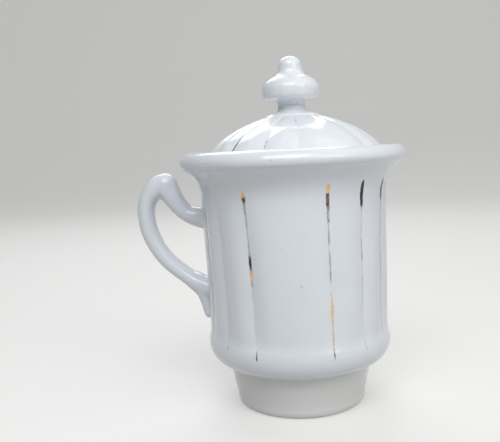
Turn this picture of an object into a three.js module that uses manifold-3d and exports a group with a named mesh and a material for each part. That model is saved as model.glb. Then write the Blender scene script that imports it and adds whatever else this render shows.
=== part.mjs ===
// A porcelain coffee dripper: a lobed water chamber with a flared lip and a handle, a spigot that stands
// in the neck of a pot, a strainer floor, a loose water spreader, and a domed lid with a turned knob.
// Millimetres, +Z up. The front is -Y, the handle points to -X, and the foot stands on z = 0.
import * as THREE from "three";
import { mergeVertices } from "three/addons/utils/BufferGeometryUtils.js";
import Module from "manifold-3d";

const wasm = await Module();
wasm.setup();

// Clearances
const jointGap = 0.3; // the slip joint between two luted pieces
const restGap = 0.3; // under a piece that only lies on a ledge
const lidPlay = 1.5; // round the lid's edge, inside the lip
const flangePlay = 1.9; // round the lid's locating ring, inside the mouth
const spreaderPlay = 1.5; // round the spreader, inside the wall

// Spigot: a plain collar, wider at its top, with a rounded lower edge
const spigotHeight = 24.3; // up to the underside of the bead
const spigotTopRadius = 40;
const spigotLowRadius = 36.1;
const spigotWall = 5;
const spigotSocket = 1.3; // depth of the recess under the body that takes the spigot's top
const footEdgeHeight = 5.3;
const footEdgeWidth = 3.3; // how far the rounded edge pulls in to the flat ring that it stands on
const footRingWidth = 3.5;

// Strainer floor, let into the lower end of the spigot
const strainerThickness = 4;
const strainerRecess = 4.7; // from the table up to the lip that carries it
const strainerHoleRadius = 1;
const strainerHoleRings = 4;
const strainerEdge = 6.2; // plain edge outside the last ring of holes

// Body: bead, lobed wall, flare and lip, from below
const beadSeatWidth = 3.3; // flat ring under the bead, outside the spigot
const beadOverhang = 1.2; // how far the bead stands out past the foot of the wall
const beadHeight = 20.2;
const beadWidest = 11.7; // height of its widest line above its underside
const shoulderDrop = 5.2; // from the foot of the wall down to the bead's shoulder
const shoulderWidth = 0.9; // how far the shoulder stands out past the wall
const wallHeight = 72.5;
const wallLowRadius = 49.6;
const wallTopRadius = 51;
const bodyWall = 4.6;
const floorThickness = 5.2;
const floorFillet = 1.5;
const flareHeight = 15.7;
const lipRadius = 61.9;
const lipHeight = 8.4;
const lipOverhang = 1.8; // how far the lip stands out past the top of the flare
const lipWidest = 3.4; // height of its widest line above the flare
const lipRound = 5.4; // width of its rounded upper edge
const lipWidth = 8.3; // from its outside in to the lid
const lipBevel = 1.2;
const galleryDepth = 4.9; // from the lip's top down to the ledge that carries the lid
const galleryWidth = 5.1;
const mouthDepth = 13; // from the lip's top down to where the mouth meets the wall's inside

// Lobes: a wide panel at the front and one at the back, and narrow ones between them
const widePanel = 48; // degrees
const narrowPanelsPerSide = 6;
const narrowSteps = 4; // facets across a narrow lobe
const wideSteps = 8;
const valleyLow = 0.8; // depth of a valley at the foot of the wall
const valleyFull = 1.45; // and along the middle of the wall
const valleyEndDrop = 7.5; // from the foot of the wall down to its end on the bead
const valleyFullRise = 10.5; // from the foot of the wall up to where it is full
const valleyFadeDrop = 24; // from the top of the wall down to where it starts to fade
const valleyEndRise = 4; // from the top of the wall up to where it ends, under the flare
const lidValley = 1.6;
const lidValleyRun = 6; // how far a valley takes to run out towards the boss
const lidTurn = 31; // degrees that the lid is turned in its seat, seen from above
const lidShift = 1; // how far the lid lies off centre in its play, away from the handle

// Lid
const lidBrimThickness = 1.8;
const lidBrimWidth = 3.2; // flat edge outside the dome
const lidThickness = 4.2;
const lidRise = 20.2; // from the foot of the dome to the edge of the boss
const bossRadius = 15.5;
const bossStep = 1.6;
const bossRound = 4.5; // width of the boss's rounded edge
const stubRadius = 7.4; // the narrow neck, where the knob is stuck on
const stubHeight = 4.1; // from the top of the boss to the neck
const flangeDepth = 6.2;
const flangeWall = 3.4;
const flangeBevel = 0.8;

// Lid knob: cone, flattened ball and finial
const knobConeHeight = 3.4; // from the neck to the ball's underside
const knobConeRadius = 10.3;
const ballRadius = 15.75;
const ballWidest = 4.9; // height of the ball's widest line above its underside
const ballHeight = 12.5;
const creaseRadius = 8.9;
const finialRadius = 6.4;
const finialHeight = 10.7;

// Water spreader, on the ledge between wall and spigot, and its knob
const spreaderThickness = 4;
const spreaderRimHeight = 2.5;
const spreaderRimWidth = 2.4;
const spreaderBevel = 1.5;
const spreaderHoleRadius = 1.3;
const spreaderHoleRings = 4;
const spreaderEdge = 7; // from the last ring of holes out to the throat below
const liftKnobFootRadius = 6;
const liftKnobNeckRadius = 3.6;
const liftKnobRadius = 7.4;
const liftKnobHeight = 19;

// Handle: where its two roots meet the wall, and its limbs as stations between them.
// out is the distance from the wall as a share of the loop's reach, up the share of the way from the lower
// root to the upper one, deep and wide the thickness as shares of the limb's depth and width.
const upperRootDrop = 12; // from the top of the wall down to the upper root
const lowerRootRise = 20; // from the foot of the wall up to the lower root
const loopReach = 34.53; // from the wall out to the middle of the bow
const limbDepth = 10; // thickness of the bow seen from the side
const limbWidth = 12.4; // and seen from behind
const armStations = [
  { out: -0.071, up: 0.98, deep: 1.48, wide: 1.331 },
  { out: 0.146, up: 1.005, deep: 1.16, wide: 1.129 },
  { out: 0.309, up: 1.06, deep: 0.99, wide: 1.016 },
  { out: 0.443, up: 1.175, deep: 1.02, wide: 1 },
  { out: 0.546, up: 1.31, deep: 1.18, wide: 1.048 },
  { out: 0.64, up: 1.45, deep: 1.38, wide: 1.081 },
];
const bowStations = [
  { out: 0.64, up: 1.45, deep: 1.38, wide: 1.081 },
  { out: 0.749, up: 1.436, deep: 1.32, wide: 1.081 },
  { out: 0.846, up: 1.37, deep: 1.2, wide: 1.065 },
  { out: 0.94, up: 1.27, deep: 1.06, wide: 1.032 },
  { out: 0.989, up: 1.15, deep: 1, wide: 1 },
  { out: 1, up: 1.02, deep: 0.97, wide: 0.968 },
  { out: 0.98, up: 0.86, deep: 0.97, wide: 0.952 },
  { out: 0.92, up: 0.7, deep: 0.96, wide: 0.935 },
  { out: 0.829, up: 0.545, deep: 0.93, wide: 0.935 },
  { out: 0.7, up: 0.395, deep: 0.91, wide: 0.952 },
  { out: 0.543, up: 0.27, deep: 0.9, wide: 0.984 },
  { out: 0.374, up: 0.16, deep: 0.92, wide: 1.032 },
  { out: 0.214, up: 0.07, deep: 1.02, wide: 1.097 },
  { out: -0.071, up: -0.035, deep: 1.16, wide: 1.177 },
];
const tailStations = [
  { out: 0.214, up: 0.07, deep: 1, wide: 1.016 },
  { out: 0.12, up: -0.09, deep: 0.76, wide: 0.887 },
  { out: 0.066, up: -0.235, deep: 0.72, wide: 0.774 },
  { out: 0.044, up: -0.32, deep: 0.72, wide: 0.71 },
  { out: 0.032, up: -0.368, deep: 0.7, wide: 0.677 },
];

// Facets
const turnedSegments = 48;
const knobSegments = 28;
const limbSides = 12;
const limbStepsPerStation = 2;
const knuckleSides = 20;
const holeSides = 6;
const holeOverrun = 1; // how far the pin that cuts a hole stands out past the plate

// Heights that follow from the sizes above
const bodyBottom = spigotHeight;
const socketTop = bodyBottom + spigotSocket;
const floorTop = bodyBottom + floorThickness;
const wallBottom = bodyBottom + beadHeight;
const wallTop = wallBottom + wallHeight;
const valleyFullHeight = wallBottom + valleyFullRise;
const valleyFadeHeight = wallTop - valleyFadeDrop;
const lipBottom = wallTop + flareHeight;
const rimTop = lipBottom + lipHeight;
const ledgeTop = rimTop - galleryDepth;
const lidBottom = ledgeTop + restGap;
const domeFoot = lidBottom + lidBrimThickness;
const bossEdge = domeFoot + lidRise;
const bossTop = bossEdge + bossStep;
const neckHeight = bossTop + stubHeight;
const knobBottom = neckHeight + jointGap;
const strainerBottom = strainerRecess + restGap;
const strainerTop = strainerBottom + strainerThickness;
const spreaderBottom = floorTop + restGap;
const spreaderTop = spreaderBottom + spreaderThickness;
const lowerRoot = wallBottom + lowerRootRise;
const upperRoot = wallTop - upperRootDrop;

// Radii that follow
const throatRadius = spigotTopRadius - spigotWall;
const socketRadius = spigotTopRadius + jointGap;
const beadRadius = wallLowRadius + beadOverhang;
const strainerRadius = spigotLowRadius - spigotWall - jointGap;
const chamberRadius = wallLowRadius - bodyWall;
const spreaderRadius = chamberRadius - spreaderPlay;
const galleryRadius = lipRadius - lipWidth;
const mouthRadius = galleryRadius - galleryWidth;
const brimRadius = galleryRadius - lidPlay;
const flangeRadius = mouthRadius - flangePlay;
const flangeInside = flangeRadius - flangeWall;
const narrowPanel = (360 - 2 * widePanel) / (2 * narrowPanelsPerSide);

const { degToRad, mapLinear, clamp } = THREE.MathUtils;

// The outline's radius at a height of the wall.
function wallRadius(z) {
  return mapLinear(z, wallBottom, wallTop, wallLowRadius, wallTopRadius);
}

// A solid for manifold-3d from a closed three.js geometry.
function solid(geometry) {
  const bare = geometry.clone();
  for (const name of ["normal", "uv"]) bare.deleteAttribute(name);
  const merged = mergeVertices(bare, 1e-4);
  return new wasm.Manifold(
    new wasm.Mesh({
      numProp: 3,
      vertProperties: merged.attributes.position.array,
      triVerts: new Uint32Array(merged.index.array),
    }),
  );
}

// The geometry of a manifold-3d solid.
function geometryOf(made) {
  const mesh = made.getMesh();
  const geometry = new THREE.BufferGeometry();
  geometry.setAttribute("position", new THREE.BufferAttribute(mesh.vertProperties, 3));
  geometry.setIndex(new THREE.BufferAttribute(mesh.triVerts, 1));
  geometry.computeVertexNormals();
  return geometry;
}

// The points of a path: the ends of its straight lines, and this many steps along each of its curves.
function outline(path, steps) {
  return path.curves.flatMap((curve, i) => {
    const points = curve.isLineCurve ? [curve.v1, curve.v2] : curve.getPoints(steps);
    return i === 0 ? points : points.slice(1);
  });
}

// A solid of revolution about +Z. Its outline runs round the section with the outside going upwards.
function turned(points, segments = turnedSegments) {
  return new THREE.LatheGeometry(points, segments).rotateX(Math.PI / 2);
}

// Each lobe's columns: their angles from the front, and how much of the valley's depth they take.
function lobeColumns() {
  const side = Array(narrowPanelsPerSide).fill([narrowPanel, narrowSteps]);
  const lobes = [[widePanel, wideSteps], ...side, [widePanel, wideSteps], ...side];
  const columns = [];
  let start = -widePanel / 2;
  for (const [width, steps] of lobes) {
    for (let i = 0; i < steps; i++) {
      const along = (width * i) / steps;
      const fromValley = Math.min(along, width - along, narrowPanel / 2);
      const dip = 1 - Math.sin((Math.PI * fromValley) / narrowPanel);
      columns.push({ angle: degToRad(start + along), dip });
    }
    start += width;
  }
  return columns;
}

// A solid of revolution whose outside is pulled in along the valleys between the lobes.
function lobed(points, valleyDepth) {
  const columns = lobeColumns();
  const geometry = new THREE.LatheGeometry(points, columns.length);
  const position = geometry.attributes.position;
  for (let i = 0; i < position.count; i++) {
    const point = points[i % points.length];
    const column = columns[Math.floor(i / points.length) % columns.length];
    const radius = point.x - column.dip * valleyDepth(point);
    position.setXYZ(i, radius * Math.sin(column.angle), point.y, radius * Math.cos(column.angle));
  }
  return geometry.rotateX(Math.PI / 2);
}

// The body's outside, from the underside of the bead to the top of the lip, moved out by a gap.
function bodyOutline(gap) {
  const seatRadius = spigotTopRadius + beadSeatWidth;
  const bulge = beadRadius - seatRadius;
  const widest = bodyBottom + beadWidest;
  const shoulder = wallBottom - shoulderDrop;
  const flareRadius = lipRadius - lipOverhang;
  const flareWidth = flareRadius - wallTopRadius;
  const lipLine = lipBottom + lipWidest;
  const path = new THREE.Path();
  path.moveTo(seatRadius, bodyBottom);
  path.bezierCurveTo(
    seatRadius + bulge * 0.65,
    bodyBottom + beadWidest * 0.18,
    beadRadius,
    widest - beadWidest * 0.45,
    beadRadius,
    widest,
  );
  path.quadraticCurveTo(
    beadRadius,
    (widest + shoulder) / 2,
    wallLowRadius + shoulderWidth,
    shoulder,
  );
  path.quadraticCurveTo(wallLowRadius, wallBottom - shoulderDrop / 2, wallLowRadius, wallBottom);
  for (const z of [valleyFullHeight, valleyFadeHeight, wallTop]) path.lineTo(wallRadius(z), z);
  path.bezierCurveTo(
    wallTopRadius + flareWidth * 0.07,
    wallTop + flareHeight * 0.69,
    flareRadius - flareWidth * 0.14,
    lipBottom - flareHeight * 0.18,
    flareRadius,
    lipBottom,
  );
  path.quadraticCurveTo(lipRadius, lipBottom + lipWidest * 0.25, lipRadius, lipLine);
  path.quadraticCurveTo(
    lipRadius - lipRound * 0.18,
    rimTop - lipHeight * 0.1,
    lipRadius - lipRound,
    rimTop,
  );
  return outline(path, 5).map((p) => new THREE.Vector2(p.x + gap, p.y));
}

// The depth of the body's valleys at a point of its outline.
function wallValleyDepth({ y }) {
  const low = wallBottom - valleyEndDrop;
  const end = wallTop + valleyEndRise;
  if (y <= low || y >= end) return 0;
  if (y < wallBottom) return mapLinear(y, low, wallBottom, 0, valleyLow);
  if (y < valleyFullHeight) return mapLinear(y, wallBottom, valleyFullHeight, valleyLow, valleyFull);
  if (y < valleyFadeHeight) return valleyFull;
  return mapLinear(y, valleyFadeHeight, end, valleyFull, 0);
}

// The body's outside filled in to its axis.
function filledBody(gap) {
  const bottom = new THREE.Vector2(0, bodyBottom);
  const top = new THREE.Vector2(0, rimTop);
  return lobed([bottom, ...bodyOutline(gap), top], wallValleyDepth);
}

// What is hollow in the body: the spigot's recess, the throat, the water chamber, the mouth and the ledge.
function chamber() {
  const upperRadius = wallTopRadius - bodyWall;
  const path = new THREE.Path();
  path.moveTo(0, bodyBottom - restGap);
  path.lineTo(socketRadius, bodyBottom - restGap);
  path.lineTo(socketRadius, socketTop);
  path.lineTo(throatRadius, socketTop);
  path.lineTo(throatRadius, floorTop);
  path.lineTo(chamberRadius - floorFillet, floorTop);
  path.lineTo(chamberRadius, floorTop + floorFillet);
  path.lineTo(upperRadius, wallTop);
  path.quadraticCurveTo(upperRadius, wallTop + flareHeight / 2, mouthRadius, rimTop - mouthDepth);
  path.lineTo(mouthRadius, ledgeTop);
  path.lineTo(galleryRadius, ledgeTop);
  path.lineTo(galleryRadius, rimTop - lipBevel);
  path.lineTo(galleryRadius + lipBevel, rimTop);
  path.lineTo(galleryRadius + lipBevel, rimTop + restGap);
  path.lineTo(0, rimTop + restGap);
  return turned(outline(path, 3));
}

function body() {
  return solid(filledBody(0)).subtract(solid(chamber()));
}

function spigot() {
  const standRadius = spigotLowRadius - footEdgeWidth;
  const ringInside = standRadius - footRingWidth;
  const seatRadius = strainerRadius + jointGap;
  const path = new THREE.Path();
  path.moveTo(standRadius, 0);
  path.quadraticCurveTo(spigotLowRadius, 0, spigotLowRadius, footEdgeHeight);
  path.lineTo(spigotTopRadius, spigotHeight);
  path.lineTo(spigotTopRadius, socketTop - jointGap);
  path.lineTo(throatRadius, socketTop - jointGap);
  path.lineTo(seatRadius, strainerTop + jointGap);
  path.lineTo(seatRadius, strainerRecess);
  path.lineTo(ringInside, strainerRecess);
  path.lineTo(ringInside, 0);
  path.lineTo(standRadius, 0);
  return solid(turned(outline(path, 5)));
}

// A plate with rings of holes, six more in each ring than in the one inside it.
function perforated(plate, bottom, top, firstRing, lastRing, pitch, holeRadius) {
  const length = top - bottom + 2 * holeOverrun;
  let made = plate;
  for (let ring = firstRing; ring <= lastRing; ring++) {
    const count = Math.max(1, 6 * ring);
    for (let i = 0; i < count; i++) {
      const angle = (2 * Math.PI * i) / count;
      const pin = new THREE.CylinderGeometry(holeRadius, holeRadius, length, holeSides);
      pin.rotateX(Math.PI / 2);
      pin.translate(
        ring * pitch * Math.cos(angle),
        ring * pitch * Math.sin(angle),
        (bottom + top) / 2,
      );
      made = made.subtract(solid(pin));
    }
  }
  return made;
}

function strainerFloor() {
  const path = new THREE.Path();
  path.moveTo(0, strainerBottom);
  path.lineTo(strainerRadius, strainerBottom);
  path.lineTo(strainerRadius, strainerTop);
  path.lineTo(0, strainerTop);
  const plate = solid(turned(outline(path, 1)));
  const pitch = (strainerRadius - strainerEdge) / strainerHoleRings;
  return perforated(
    plate,
    strainerBottom,
    strainerTop,
    0,
    strainerHoleRings,
    pitch,
    strainerHoleRadius,
  );
}

function waterSpreader() {
  const rimHeight = spreaderTop + spreaderRimHeight;
  const path = new THREE.Path();
  path.moveTo(0, spreaderBottom);
  path.lineTo(spreaderRadius - spreaderBevel, spreaderBottom);
  path.lineTo(spreaderRadius, spreaderBottom + spreaderBevel);
  path.lineTo(spreaderRadius, rimHeight);
  path.lineTo(spreaderRadius - spreaderRimWidth, rimHeight);
  path.lineTo(spreaderRadius - spreaderRimWidth - spreaderRimHeight / 2, spreaderTop);
  path.lineTo(0, spreaderTop);
  const plate = solid(turned(outline(path, 1)));
  const pitch = (throatRadius - spreaderEdge) / spreaderHoleRings;
  return perforated(
    plate,
    spreaderBottom,
    spreaderTop,
    2,
    spreaderHoleRings,
    pitch,
    spreaderHoleRadius,
  );
}

function spreaderKnob() {
  const foot = spreaderTop + jointGap;
  const top = foot + liftKnobHeight;
  const ball = top - liftKnobRadius;
  const path = new THREE.Path();
  path.moveTo(0, foot);
  path.lineTo(liftKnobFootRadius, foot);
  path.quadraticCurveTo(
    liftKnobNeckRadius,
    foot + liftKnobHeight * 0.1,
    liftKnobNeckRadius,
    foot + liftKnobHeight * 0.3,
  );
  path.quadraticCurveTo(liftKnobRadius, ball - liftKnobRadius * 0.5, liftKnobRadius, ball);
  path.bezierCurveTo(
    liftKnobRadius,
    ball + liftKnobRadius * 0.7,
    liftKnobRadius * 0.6,
    top,
    0,
    top,
  );
  return solid(turned(outline(path, 4), knobSegments / 2));
}

// The dome from its foot up to the edge of the boss, moved in by a thickness measured square to it.
function domeCurve(inset) {
  const footRadius = brimRadius - lidBrimWidth;
  const span = footRadius - bossRadius;
  const steps = 7;
  const curve = new THREE.CubicBezierCurve(
    new THREE.Vector2(footRadius, domeFoot),
    new THREE.Vector2(footRadius - span * 0.26, domeFoot + lidRise * 0.6),
    new THREE.Vector2(bossRadius + span * 0.38, bossEdge - lidRise * 0.2),
    new THREE.Vector2(bossRadius, bossEdge),
  );
  return curve.getPoints(steps).map((point, i) => {
    const tangent = curve.getTangent(i / steps);
    return new THREE.Vector2(point.x - inset * tangent.y, point.y + inset * tangent.x);
  });
}

// The valleys of the lid run out at the foot of its dome and towards its boss.
function lidValleyDepth({ x, y }) {
  if (y <= domeFoot || y >= bossEdge) return 0;
  return lidValley * clamp((x - bossRadius) / lidValleyRun, 0, 1);
}

function lid() {
  const flangeBottom = lidBottom - flangeDepth;
  const boss = new THREE.Path();
  boss.moveTo(bossRadius, bossEdge);
  boss.quadraticCurveTo(bossRadius - bossRound / 3, bossTop, bossRadius - bossRound, bossTop);
  boss.quadraticCurveTo(stubRadius, bossTop + stubHeight * 0.2, stubRadius, neckHeight);
  boss.lineTo(0, neckHeight);
  const outside = lobed(
    [
      new THREE.Vector2(0, flangeBottom),
      new THREE.Vector2(flangeRadius - flangeBevel, flangeBottom),
      new THREE.Vector2(flangeRadius, flangeBottom + flangeBevel),
      new THREE.Vector2(flangeRadius, lidBottom),
      new THREE.Vector2(brimRadius, lidBottom),
      new THREE.Vector2(brimRadius, domeFoot - lidBrimThickness / 2),
      ...domeCurve(0),
      ...outline(boss, 3).slice(1),
    ],
    lidValleyDepth,
  );
  const inner = domeCurve(lidThickness).filter((point) => point.x < flangeInside);
  const hollow = turned([
    new THREE.Vector2(0, flangeBottom - restGap),
    new THREE.Vector2(flangeInside, flangeBottom - restGap),
    new THREE.Vector2(flangeInside, lidBottom),
    ...inner,
    new THREE.Vector2(0, inner[inner.length - 1].y),
  ]);
  return solid(outside).subtract(solid(hollow));
}

function lidKnob() {
  const under = knobBottom + knobConeHeight;
  const widest = under + ballWidest;
  const crease = under + ballHeight;
  const top = crease + finialHeight;
  const domeSpan = ballRadius - creaseRadius;
  const path = new THREE.Path();
  path.moveTo(0, knobBottom);
  path.lineTo(stubRadius, knobBottom);
  path.quadraticCurveTo(
    stubRadius,
    under - knobConeHeight * 0.3,
    knobConeRadius,
    under - knobConeHeight * 0.08,
  );
  path.lineTo(ballRadius * 0.86, under);
  path.quadraticCurveTo(ballRadius, under, ballRadius, widest);
  path.bezierCurveTo(
    ballRadius,
    widest + ballHeight * 0.25,
    creaseRadius + domeSpan * 0.61,
    crease - ballHeight * 0.14,
    creaseRadius,
    crease,
  );
  path.quadraticCurveTo(
    finialRadius,
    crease + finialHeight * 0.15,
    finialRadius,
    crease + finialHeight * 0.45,
  );
  path.bezierCurveTo(finialRadius, top - finialHeight * 0.16, finialRadius * 0.45, top, 0, top);
  return solid(turned(outline(path, 4), knobSegments));
}

// A station's place in the handle's own plane.
function stationPoint({ out, up }) {
  const z = lowerRoot + up * (upperRoot - lowerRoot);
  return new THREE.Vector3(-(wallRadius(z) + out * loopReach), 0, z);
}

// One limb of the handle: a capped tube of oval section bent through its stations.
function limb(stations) {
  const path = new THREE.CatmullRomCurve3(stations.map(stationPoint));
  const size = new THREE.CatmullRomCurve3(
    stations.map((s) => new THREE.Vector3((s.deep * limbDepth) / 2, (s.wide * limbWidth) / 2, 0)),
  );
  const steps = (stations.length - 1) * limbStepsPerStation;
  const tube = new THREE.CylinderGeometry(1, 1, 1, limbSides, steps);
  const position = tube.attributes.position;
  for (let i = 0; i < position.count; i++) {
    const t = position.getY(i) + 0.5;
    const middle = path.getPoint(t);
    const tangent = path.getTangent(t);
    const half = size.getPoint(t);
    const across = position.getX(i) * half.x;
    position.setXYZ(
      i,
      middle.x + tangent.z * across,
      position.getZ(i) * -half.y,
      middle.z - tangent.x * across,
    );
  }
  return solid(tube);
}

function handle() {
  const top = armStations[armStations.length - 1];
  const place = stationPoint(top);
  const depth = top.deep * limbDepth;
  const knuckle = new THREE.SphereGeometry(1, knuckleSides, knuckleSides / 2)
    .scale(depth / 2, (top.wide * limbWidth) / 2, depth / 2)
    .translate(place.x, place.y, place.z);
  return solid(knuckle)
    .add(limb(armStations))
    .add(limb(bowStations))
    .add(limb(tailStations))
    .subtract(solid(filledBody(jointGap)));
}

// One node: a named mesh with its own glaze.
function piece(name, made, color, roughness = 0.15) {
  const material = new THREE.MeshStandardMaterial({ color, roughness, metalness: 0 });
  const mesh = new THREE.Mesh(geometryOf(made), material);
  mesh.name = name;
  return mesh;
}

const lidGroup = new THREE.Group();
lidGroup.rotation.z = degToRad(lidTurn);
lidGroup.position.x = lidShift;
lidGroup.add(piece("lid", lid(), 0xf2f5f8), piece("lid_knob", lidKnob(), 0xeff2f6));

const vessel = new THREE.Group();
vessel.add(
  piece("dripper_body", body(), 0xe4e8ee),
  piece("foot_spigot", spigot(), 0xdcdedd, 0.3),
  piece("strainer_floor", strainerFloor(), 0xe2e4e4, 0.3),
  piece("handle", handle(), 0xe6ecf1),
  piece("water_spreader", waterSpreader(), 0xe8ebee),
  piece("spreader_knob", spreaderKnob(), 0xe8ebee),
  lidGroup,
);

// The vessel's axis stands off the origin by as much as brings the middle of the whole over it.
const extent = new THREE.Box3().setFromObject(vessel, true);
vessel.position.x = -(extent.min.x + extent.max.x) / 2;

const dripper = new THREE.Group();
dripper.add(vessel);

export default dripper;
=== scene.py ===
import math

import bpy
import numpy as np
from mathutils import Matrix, Vector
from mathutils.geometry import delaunay_2d_cdt


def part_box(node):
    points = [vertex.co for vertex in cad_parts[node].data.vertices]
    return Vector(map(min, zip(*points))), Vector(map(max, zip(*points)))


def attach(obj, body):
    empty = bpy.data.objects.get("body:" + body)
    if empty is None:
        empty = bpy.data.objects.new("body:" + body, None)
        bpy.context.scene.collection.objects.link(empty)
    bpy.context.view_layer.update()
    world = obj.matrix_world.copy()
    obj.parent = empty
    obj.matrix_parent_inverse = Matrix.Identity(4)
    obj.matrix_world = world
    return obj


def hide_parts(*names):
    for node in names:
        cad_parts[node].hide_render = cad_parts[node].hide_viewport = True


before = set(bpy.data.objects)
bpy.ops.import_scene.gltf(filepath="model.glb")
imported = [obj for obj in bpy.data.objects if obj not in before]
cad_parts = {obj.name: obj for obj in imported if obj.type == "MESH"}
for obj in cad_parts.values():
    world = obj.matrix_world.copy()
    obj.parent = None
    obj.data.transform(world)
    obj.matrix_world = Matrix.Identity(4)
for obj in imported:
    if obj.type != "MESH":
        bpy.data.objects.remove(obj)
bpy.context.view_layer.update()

# Sizes in millimetres, as in the solids. A name that ends in R is a radius, and one that ends in H is a
# height of its own. The other upright sizes are levels above the table.
MM = 0.001
spigot_low, spigot_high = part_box("foot_spigot")
AXIS_X = (spigot_low.x + spigot_high.x) / 2 / MM

# The collar that stands in a pot's neck, and the ring under it. The body's seat is at the collar's top.
SPIGOT_TOP_R = 40
SPIGOT_LOW_R = 36.1
SPIGOT_H = 24.3
STAND_R = 32.8
FOOT_EDGE_H = 5.3
RING_INSIDE_R = 29.3

# The bead
SEAT_R = 43.3
BEAD_R = 50.8
BEAD_WIDEST = 36.0
SHOULDER_R = 50.5
SHOULDER = 39.3
BEAD_TOP = 44.5

# The wall, the flare and the lip
WALL_LOW_R = 49.6
WALL_TOP_R = 51.0
WALL_TOP = 117.0
FLARE_R = 60.1
FLARE_H = 15.7
LIP_BOTTOM = WALL_TOP + FLARE_H
LIP_R = 61.9
LIP_LINE = 136.1
LIP_ROUND = 5.4
RIM_TOP = 141.1

# The inside: the ledge for the lid, the mouth, the chamber and its throat
GALLERY_R = 53.6
LEDGE_TOP = 136.2
MOUTH_R = 48.5
MOUTH_BOTTOM = 128.1
CHAMBER_TOP_R = 46.4
CHAMBER_LOW_R = 45.0
FLOOR_TOP = 29.5
THROAT_R = 35.0

# The strainer floor
STRAINER_R = 31.1
STRAINER_LOW = 4.7
STRAINER_TOP = 9.0
STRAINER_HOLE_R = 1.0
STRAINER_PITCH = 6.15

# The water spreader and the knob that lifts it
SPREADER_R = 43.5
SPREADER_PLATE_R = 39.5
SPREADER_LOW = 29.8
SPREADER_TOP = 33.8
SPREADER_RIM = 36.3
SPREADER_HOLE_R = 1.3
SPREADER_PITCH = 7.0
LIFT_KNOB_TOP = 53.1
LIFT_FOOT_R = 6
LIFT_NECK_R = 3.6
LIFT_BALL_R = 7.4

# The handle: its roots' levels, how far it stands off the wall, and its limb
LOWER_ROOT = 64.5
UPPER_ROOT = 105.0
REACH = 34.53
LIMB_DEPTH = 10.0
LIMB_WIDTH = 12.4
ROOT_FILLET = 1.0
KNUCKLE_FILLET = 0.8
TAIL_FILLET = 2.0
ROOT_SINK = 1.2

# The lid. It lies turned, in degrees, and a little off the axis, towards +X.
LID_TURN = 31.0
LID_SHIFT = 1.2
BRIM_R = 52.1
LID_BOTTOM = 136.5
DOME_FOOT_R = 48.9
DOME_FOOT = 138.3
BOSS_R = 15.5
BOSS_EDGE = 158.5
BOSS_TOP = 160.1
NECK_R = 7.4
NECK = 164.2
FLANGE_R = 46.6
FLANGE_INSIDE_R = 43.2
FLANGE_LOW = 130.3
LID_WALL = 4.2
LID_VALLEY = 1.6
LID_VALLEY_START_H = 1.6
LID_VALLEY_RUN = 6

# The lid's knob, which stands nearer to the axis. The lid's shift changes to the knob's from SHIFT_START up.
KNOB_SHIFT = 0.5
SHIFT_START = 157
CONE_R = 10.3
BALL_R = 15.75
BALL_UNDER = 167.9
BALL_WIDEST = 172.8
CREASE_R = 8.9
CREASE = 180.4
FINIAL_R = 6.4
KNOB_TOP = 191.1

# The two points that bend a curve, as shares of its width and height from its two ends
BEAD_CURVE = (0.65, 0.18), (0, 0.45)
FLARE_CURVE = (0.07, 0.69), (0.14, 0.18)
DOME_CURVE = (0.26, 0.6), (0.38, 0.2)

# The lobes, in degrees round the axis: a wide one in front and behind, and six narrow ones on each side.
# The glaze rounds the valleys between them. On the body they begin outside LOBED_R, in millimetres.
LOBED_R = 46
WIDE_PANEL = 48.0
NARROW_PANEL = 22.0
SIDE_PANELS = 6
VALLEY_ROUNDING = 0.4

# Depth of the body's valleys by level. They start on the bead and fade out under the flare.
VALLEY_DEPTH = {BEAD_TOP - 7.5: 0, BEAD_TOP: 0.8, BEAD_TOP + 10.5: 1.45, WALL_TOP - 24: 1.45, WALL_TOP + 4: 0}

# The body came from the kiln a little out of true. This is how far its outside stands off along X by level.
LEAN = {70: 0, 95: -0.38, 108: -0.45, 114: -0.6, 122: -0.65, 127: -0.95, 131: -1.15, 135: -0.4, 141: -0.1}

# How far the valleys that the photograph shows are turned out of their places, in degrees, by level
SWING_AT = [-90, -68, -46, -24, 24, 46, 68, 90]
SWING = {
    40: [0, 1.0, 2.0, 2.8, 0.2, 0.6, 0.4, 0],
    50: [0, 1.0, 2.0, 1.2, 0.7, 0.6, 0.4, 0],
    80: [0, 0.3, 0.4, 0.7, 0.15, 1.1, 1.0, 0],
    115: [0, 0, 0.1, -0.1, -0.35, 0.4, -0.2, 0]}

# The same for the lid, where only the valley on the photograph's left is out of its place
LID_SWING = {-90: 0, -68: -2.7, -46: 0}


# Outlines

def quad(a, b, c, n):
    """n points after a on the curve from a to c."""
    t = np.linspace(0, 1, n + 1)[1:, None]
    a, b, c = map(np.array, (a, b, c))
    return [tuple(p) for p in (1 - t) ** 2 * a + 2 * t * (1 - t) * b + t ** 2 * c]


def cubic(a, b, c, d, n):
    """n points after a on the curve from a to d."""
    t = np.linspace(0, 1, n + 1)[1:, None]
    a, b, c, d = map(np.array, (a, b, c, d))
    return [tuple(p) for p in (1 - t) ** 3 * a + 3 * t * (1 - t) ** 2 * b
            + 3 * t * t * (1 - t) * c + t ** 3 * d]


def bend_points(a, d, shares):
    """The two points that bend a curve from a to d, from their shares of its width and height."""
    across = np.array(d) - np.array(a)
    return a + across * shares[0], d - across * shares[1]


def line(a, b, n):
    """n points after a on the way to b."""
    t = np.linspace(0, 1, n + 1)[1:, None]
    return [tuple(p) for p in (1 - t) * np.array(a) + t * np.array(b)]


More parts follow.
